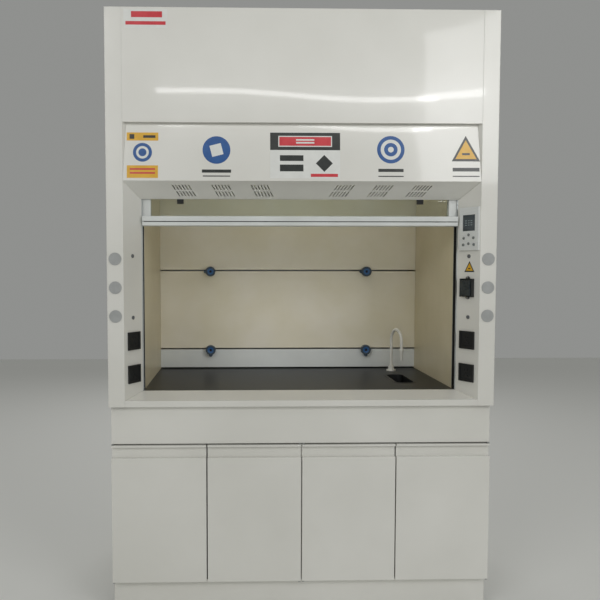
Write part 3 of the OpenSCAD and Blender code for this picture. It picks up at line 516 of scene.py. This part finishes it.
# Faces deep in the bore get the painted shade colour, the ring faces get the blue and the rest get the dark
# body plastic.
for face in grip.data.polygons:
    reach = math.hypot(face.center.x, face.center.y)
    deep = face.center.z < grip_t - 0.003 and abs(face.center.x) < 0.006 and reach < 0.0065
    face.material_index = 2 if deep else (1 if reach < 0.0148 and face.center.z > grip_t / 2 else 0)
soften(grip, 0.0005, 2)
lug = puck(32, 0.009, lug_height, grip_r)
pick(lug, lambda centre, normal: normal.z > 0.9)
bpy.ops.mesh.inset(thickness=0.0025, depth=0.0008)
bpy.ops.object.mode_set(mode="OBJECT")
lug.data.materials.append(rim_plastic)
soften(lug, 0.0012)
start()
bpy.ops.mesh.primitive_cylinder_add(vertices=24, radius=0.0035, depth=shank_length)
shank = bpy.context.object
pick(shank, lambda centre, normal: normal.z < -0.9)
bpy.ops.mesh.inset(thickness=0.0008, depth=0.0006)
bpy.ops.object.mode_set(mode="OBJECT")
for level, lug_turn in (("upper", math.pi), ("lower", -math.pi / 2)):
    for side, label in ((-1, "left"), (1, "right")):
        node = f"knob_{level}_{label}"
        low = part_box(node)[0]
        place = (side * knob_x, low.y + grip_t, low.z + (0.024 if level == "upper" else 0.035))
        turns = (math.pi / 2, 0, 0)
        knob = copy_of(grip, node + "_grip", place, turns, None, node)
        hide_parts(node)
        start()
        lug.select_set(True)
        bpy.context.view_layer.objects.active = lug
        bpy.ops.object.duplicate()
        bpy.context.object.rotation_euler = (0, 0, lug_turn)
        bpy.ops.object.transform_apply(location=True, rotation=True, scale=True)
        bpy.context.object.location = place
        bpy.context.object.rotation_euler = turns
        tidy_piece(node + "_lug", None, node)
        shank_place = (place[0], place[1] + shank_length / 2, place[2])
        copy_of(shank, node + "_shank", shank_place, turns, zinc, node)
discard(grip)
discard(lug)
discard(shank)


# ---- Handle rail's seal and clips ---------------------------------------------------------
# A black bulb seal is pressed in the groove between the rail's two bands, and small moulded
# clips hold it in four places along the rail, two a side.
handle_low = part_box("sash_handle")[0]
half_rail = 0.620
groove_rise = 0.0165


def block(width, depth, height):
    """A box centred on the origin, to be worked into a moulded piece."""
    start()
    bpy.ops.mesh.primitive_cube_add(size=1)
    bpy.ops.object.mode_set(mode="EDIT")
    bpy.ops.mesh.select_all(action="SELECT")
    bpy.ops.transform.resize(value=(width, depth, height))
    bpy.ops.object.mode_set(mode="OBJECT")
    return bpy.context.object


start()
bpy.ops.mesh.primitive_cylinder_add(vertices=16, radius=0.0014, depth=2 * half_rail,
                                    rotation=(0, math.pi / 2, 0),
                                    location=(0, handle_low.y + 0.0078, handle_low.z + groove_rise))
bpy.ops.object.transform_apply(location=False, rotation=True, scale=False)
bpy.ops.object.mode_set(mode="EDIT")
bpy.ops.mesh.select_all(action="SELECT")
bpy.ops.transform.resize(value=(1, 1.5, 1))
bpy.ops.object.mode_set(mode="OBJECT")
bpy.ops.object.shade_smooth_by_angle(angle=math.radians(40))
tidy_piece("handle_seal", rubber, "sash")
clip = block(0.012, 0.006, 0.0026)
pick(clip, lambda centre, normal: normal.y < -0.9)
bpy.ops.mesh.inset(thickness=0.0006, depth=0.0008)
bpy.ops.object.mode_set(mode="OBJECT")
soften(clip, 0.0003, 2)
for number, x in enumerate((-0.54, -0.14, 0.14, 0.54)):
    copy_of(clip, f"handle_clip_{number + 1}", (x, handle_low.y + 0.0050, handle_low.z + groove_rise),
            (0, 0, 0), rubber, "sash")
discard(clip)


# ---- Sash ropes ---------------------------------------------------------------------------
# Stainless wire rope 3 mm thick, one a side: up from the lug on the sash, half way round a
# pulley, and down to the weight.
cable_low, cable_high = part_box("sash_cables")
weight_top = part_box("counterweights")[1].z
rope_r = 0.0015
pulley_r = 0.040
shaft_z = cable_high.z - rope_r - pulley_r
front_y = cable_low.y + rope_r
rear_y = cable_high.y - rope_r
lug_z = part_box("sash_frame")[1].z - 0.197
rope_finish = metal("stainless_wire_rope", ("#6f7375", "#a5a9ab"), 0.35, 0.0012, (1, 1, 0.5))


def rope_run(name, x, y, z_low, rings=48):
    """A straight run down from the pulley, with rings along it."""
    start()
    bpy.ops.mesh.primitive_circle_add(vertices=10, radius=rope_r, fill_type="NGON", location=(x, y, shaft_z))
    bpy.ops.object.mode_set(mode="EDIT")
    bpy.ops.mesh.select_all(action="SELECT")
    for _ in range(rings):
        bpy.ops.mesh.extrude_region_move(
            TRANSFORM_OT_translate={"value": (0, 0, (z_low - shaft_z) / rings)})
    bpy.ops.mesh.select_all(action="SELECT")
    bpy.ops.mesh.normals_make_consistent(inside=False)
    bpy.ops.object.mode_set(mode="OBJECT")
    run = bpy.context.object
    run.name = run.data.name = name
    bpy.ops.object.transform_apply(location=True, rotation=True, scale=True)
    bpy.ops.object.shade_smooth_by_angle(angle=math.radians(50))
    run.data.materials.append(rope_finish)
    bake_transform(run)


start()
bpy.ops.mesh.primitive_torus_add(major_segments=96, minor_segments=10, major_radius=pulley_r,
                                 minor_radius=rope_r, rotation=(0, math.pi / 2, 0))
wrap = bpy.context.object
bpy.ops.object.transform_apply(location=False, rotation=True, scale=False)
bpy.ops.object.mode_set(mode="EDIT")
bpy.ops.mesh.select_all(action="SELECT")
bpy.ops.mesh.bisect(plane_co=(0, 0, 0), plane_no=(0, 0, 1), clear_inner=True, use_fill=True)
bpy.ops.object.mode_set(mode="OBJECT")
bpy.ops.object.shade_smooth_by_angle(angle=math.radians(50))
for side, label in ((-1, "left"), (1, "right")):
    rope_x = side * (cable_high.x - rope_r)
    rope_run(f"rope_front_{label}", rope_x, front_y, lug_z)
    rope_run(f"rope_rear_{label}", rope_x, rear_y, weight_top)
    bend = copy_of(wrap, f"rope_wrap_{label}", (rope_x, (front_y + rear_y) / 2, shaft_z), (0, 0, 0),
                   rope_finish, "hood")
    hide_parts("sash_cables")
discard(wrap)


# ---- Screws -------------------------------------------------------------------------------
# Zinc plated pan head screws 8 mm across, with a square recess, fix the roof, the rear panel,
# the spigot's flange and the breaker. One head is modelled and copied.
head = puck(24, 0.004, 0.0020)
pick(head, lambda centre, normal: normal.z > 0.9)
bpy.ops.mesh.inset(thickness=0.0009, depth=0.0004)
bpy.ops.mesh.inset(thickness=0.0014, depth=0.0)
bpy.ops.mesh.inset(thickness=0.0003, depth=-0.0009)
bpy.ops.object.mode_set(mode="OBJECT")
head.data.materials.append(zinc)
bpy.ops.object.shade_smooth_by_angle(angle=math.radians(35))


def screws(name, places, turns):
    """A set of screws that all face one way, joined into one piece."""
    start()
    made = []
    for place in places:
        twin = head.copy()
        twin.data = head.data.copy()
        bpy.context.collection.objects.link(twin)
        twin.location = place
        twin.rotation_euler = turns
        made.append(twin)
    for twin in made:
        twin.select_set(True)
    bpy.context.view_layer.objects.active = made[0]
    bpy.ops.object.join()
    return tidy_piece(name, None, "hood")


roof_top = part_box("roof_panel")[1].z
rear_low, rear_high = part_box("rear_panel")
collar_low, collar_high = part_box("exhaust_collar")
collar_y = (collar_low.y + collar_high.y) / 2
screws("roof_screws", [(x, y, roof_top) for x in (-0.735, -0.245, 0.245, 0.735) for y in (-0.40, 0.40)] +
       [(x, y, roof_top) for x in (-0.735, 0.735) for y in (-0.13, 0.13)], (0, 0, 0))
spigot_ring = 0.139
flange_t = 0.002
screws("spigot_screws", [(spigot_ring * math.cos(k * math.pi / 4),
                          collar_y + spigot_ring * math.sin(k * math.pi / 4),
                          collar_low.z + flange_t) for k in range(8)], (0, 0, 0))
screws("rear_screws", [(x, rear_high.y - 0.0002, rear_low.z + 0.03 + k * (rear_high.z - rear_low.z - 0.06) / 5)
                       for x in (-0.725, 0.0, 0.725) for k in range(6)], (-math.pi / 2, 0, 0))
breaker_along = 0.0554
breaker_height = 1.296
ear_t = 0.004
screws("breaker_screws", [bevel_place(1, breaker_along, breaker_height + rise, ear_t)[0]
                          for rise in (-0.0407, 0.0407)], bevel_place(1, breaker_along, breaker_height)[1])
discard(head)


# ---- Panel marks --------------------------------------------------------------------------
# Pale segments show on the dark window, and a small printed mark sits on each key: triangles
# on the four arrow keys, a ring on the fan key and a dot on the lamp key.
panel_along = 0.050
panel_height = 1.527
segment_film = vinyl("pale_segment_film", ("#9fb0b3", "#aabbbd"))
mark_film = vinyl("dark_mark_film", ("#2f3436", "#383d3f"))
bars = [(4, 0.0075, 0.0016, -0.014 + 0.013 * k, 0.0085 * rise, 0, segment_film)
        for k in range(3) for rise in (-1, 0, 1)]
sign("display_segments", bars, *bevel_place(1, panel_along, panel_height + 0.023, 0.0084))
for key, across, rise, layers in (
        ("up", 0.0, -0.024, [(3, 0.0055, 0.0048, 0, 0, 0, mark_film)]),
        ("down", 0.0, -0.058, [(3, 0.0055, 0.0048, 0, 0, 0, mark_film, math.pi)]),
        ("left", 0.023, -0.036, [(3, 0.0055, 0.0048, 0, 0, 0, mark_film, -math.pi / 2)]),
        ("right", -0.023, -0.036, [(3, 0.0055, 0.0048, 0, 0, 0, mark_film, math.pi / 2)]),
        ("fan", 0.025, -0.062, [(24, 0.0056, 0.0056, 0, 0, 0, mark_film),
                                (24, 0.003, 0.003, 0, 0, 1, segment_film)]),
        ("lamp", -0.025, -0.062, [(24, 0.0040, 0.0040, 0, 0, 0, mark_film)])):
    mark = sign(f"key_mark_{key}", layers, *bevel_place(1, panel_along - across, panel_height + rise, 0.0106))
    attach(mark, f"key_{key}")


# ---- Door catches -------------------------------------------------------------------------
# Magnetic catches in grey plastic, screwed under the carcass's front rail behind each door's
# free corner. Their two steel pole plates are drawn as one raised face in the same grey plastic.
catch_plastic = moulded("grey_catch_plastic", ("#868a89", "#8f9392"), 0.5)
carcass_low, carcass_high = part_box("base_carcass")
catch = block(0.044, 0.026, 0.014)
pick(catch, lambda centre, normal: normal.y < -0.9)
bpy.ops.mesh.inset(thickness=0.003, depth=0.0)
bpy.ops.mesh.inset(thickness=0.0004, depth=0.0020)
bpy.ops.object.mode_set(mode="OBJECT")
soften(catch, 0.0008)
for number in (1, 2, 3, 4):
    door_low, door_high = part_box(f"door_{number}")
    free_x = door_high.x - 0.05 if number % 2 else door_low.x + 0.05
    copy_of(catch, f"door_catch_{number}", (free_x, carcass_low.y + 0.016, carcass_high.z - 0.009), (0, 0, 0),
            catch_plastic, "hood")
discard(catch)
